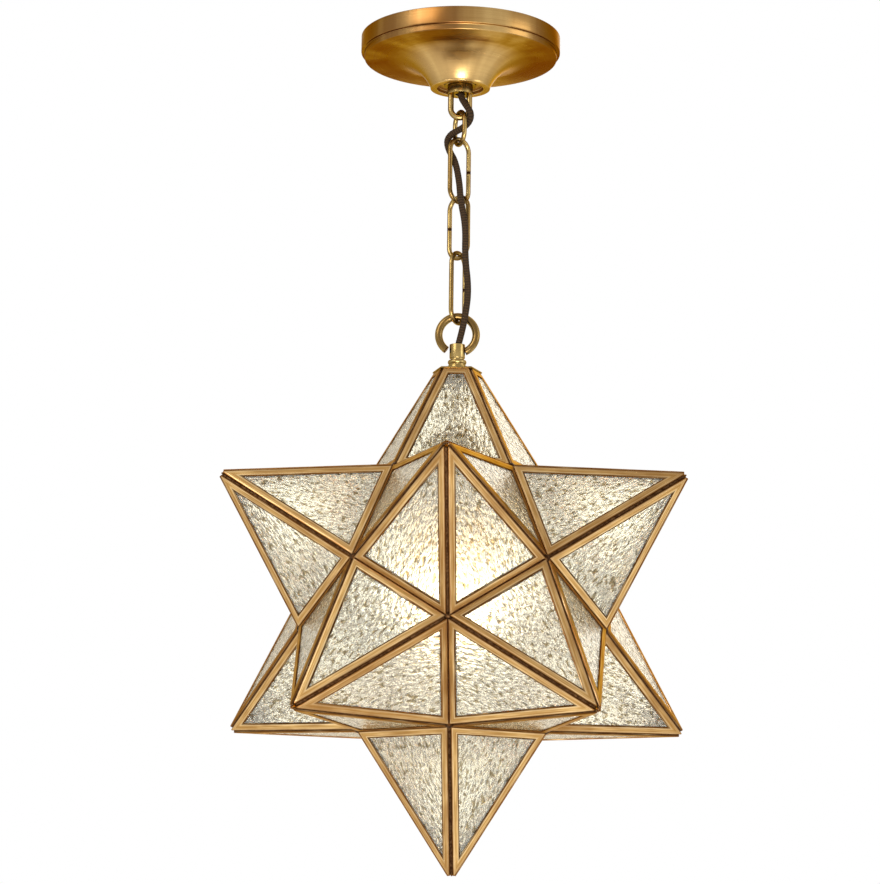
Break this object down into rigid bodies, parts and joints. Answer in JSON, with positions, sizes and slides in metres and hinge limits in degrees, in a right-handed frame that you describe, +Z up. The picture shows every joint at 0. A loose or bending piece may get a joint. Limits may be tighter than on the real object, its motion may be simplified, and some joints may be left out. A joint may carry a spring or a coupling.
{
  "type": "pendant light",
  "caption": "Twelve-pointed glass and brass star lantern hung on a short chain from a round ceiling canopy, with a lamp inside and a hinged point at the back",
  "frame": {"origin": "middle of the mounting bar's two slotted holes, on the ceiling plane", "axes": "+Z up along the hanging axis, -Y towards the star's front point, +X to the viewer's right"},
  "size_m": [0.2688, 0.2818, 0.5012],
  "materials": {
    "spun_brass": "spun and lacquered, antique",
    "fitting_brass": "turned, antique",
    "chain_brass": "drawn wire, antique",
    "came_brass": "satin, antique",
    "solder": "dark patina",
    "hammered_glass": "clear, hammered, faint champagne tint",
    "plated_steel": "zinc plated",
    "cord_cloth": "braided cotton",
    "lampholder_core": "moulded",
    "lamp_metal": "bright",
    "lamp_glass": "frosted, lit"
  },
  "bodies": {
    "ceiling": {"mounting_bar": "plated_steel", "ceiling_canopy": "spun_brass", "canopy_washer": "fitting_brass", "canopy_collar": "fitting_brass", "ceiling_nipple": "fitting_brass", "bar_lock_nut": "fitting_brass", "earth_screw": "fitting_brass", "canopy_loop": "fitting_brass", "power_cord": "cord_cloth"},
    "link_1": {"chain_link_1": "chain_brass"},
    "link_2": {"chain_link_2": "chain_brass"},
    "link_3": {"chain_link_3": "chain_brass"},
    "link_4": {"chain_link_4": "chain_brass"},
    "star": {"star_ring": "fitting_brass", "neck_coupling": "fitting_brass", "cap_plate": "came_brass", "solder_seams": "solder", "socket_nipple": "fitting_brass", "cap_lock_nut": "fitting_brass", "socket_cap": "fitting_brass", "socket_shell": "fitting_brass", "socket_core": "lampholder_core", "screw_shell": "lamp_metal", "centre_contact": "lamp_metal", "lamp_base": "lamp_metal", "lamp_glass": "lamp_glass", "hinge_fixed_leaf": "came_brass", "hinge_pin": "came_brass", "top_point_frame": "came_brass", "top_point_glass": "hammered_glass", "upper_point_1_frame": "came_brass", "upper_point_1_glass": "hammered_glass", "upper_point_2_frame": "came_brass", "upper_point_2_glass": "hammered_glass", "upper_point_4_frame": "came_brass", "upper_point_4_glass": "hammered_glass", "upper_point_5_frame": "came_brass", "upper_point_5_glass": "hammered_glass", "lower_point_1_frame": "came_brass", "lower_point_1_glass": "hammered_glass", "lower_point_2_frame": "came_brass", "lower_point_2_glass": "hammered_glass", "lower_point_3_frame": "came_brass", "lower_point_3_glass": "hammered_glass", "lower_point_4_frame": "came_brass", "lower_point_4_glass": "hammered_glass", "lower_point_5_frame": "came_brass", "lower_point_5_glass": "hammered_glass", "bottom_point_frame": "came_brass", "bottom_point_glass": "hammered_glass"},
    "door": {"door_solder_seams": "solder", "hinge_door_leaf": "came_brass", "door_knob": "came_brass", "upper_point_3_frame": "came_brass", "upper_point_3_glass": "hammered_glass"}
  },
  "joints": [
    {"name": "loop_swing", "type": "hinge", "parent": "ceiling", "child": "link_1", "pos_m": [0, 0, -0.04977], "axis": [1, 0, 0], "range_deg": [-35, 35], "deforming": ["power_cord"]},
    {"name": "link_1_swing", "type": "hinge", "parent": "link_1", "child": "link_2", "pos_m": [0, 0, -0.06647], "axis": [0.4352, -0.9003, 0], "range_deg": [-35, 35], "deforming": ["power_cord"]},
    {"name": "link_2_swing", "type": "hinge", "parent": "link_2", "child": "link_3", "pos_m": [0, 0, -0.10232], "axis": [0.7096, 0.7046, 0], "range_deg": [-35, 35], "deforming": ["power_cord"]},
    {"name": "link_3_swing", "type": "hinge", "parent": "link_3", "child": "link_4", "pos_m": [0, 0, -0.13677], "axis": [0.7524, -0.6587, 0], "range_deg": [-35, 35], "deforming": ["power_cord"]},
    {"name": "link_4_swing", "type": "hinge", "parent": "link_4", "child": "star", "pos_m": [0, 0, -0.17637], "axis": [0.5, 0.866, 0], "range_deg": [-35, 35], "deforming": ["power_cord"]},
    {"name": "door_hinge", "type": "hinge", "parent": "star", "child": "door", "pos_m": [0.02815, 0.03875, -0.26727], "axis": [0.809, -0.5878, 0], "range_deg": [0, 90]}
  ]
}
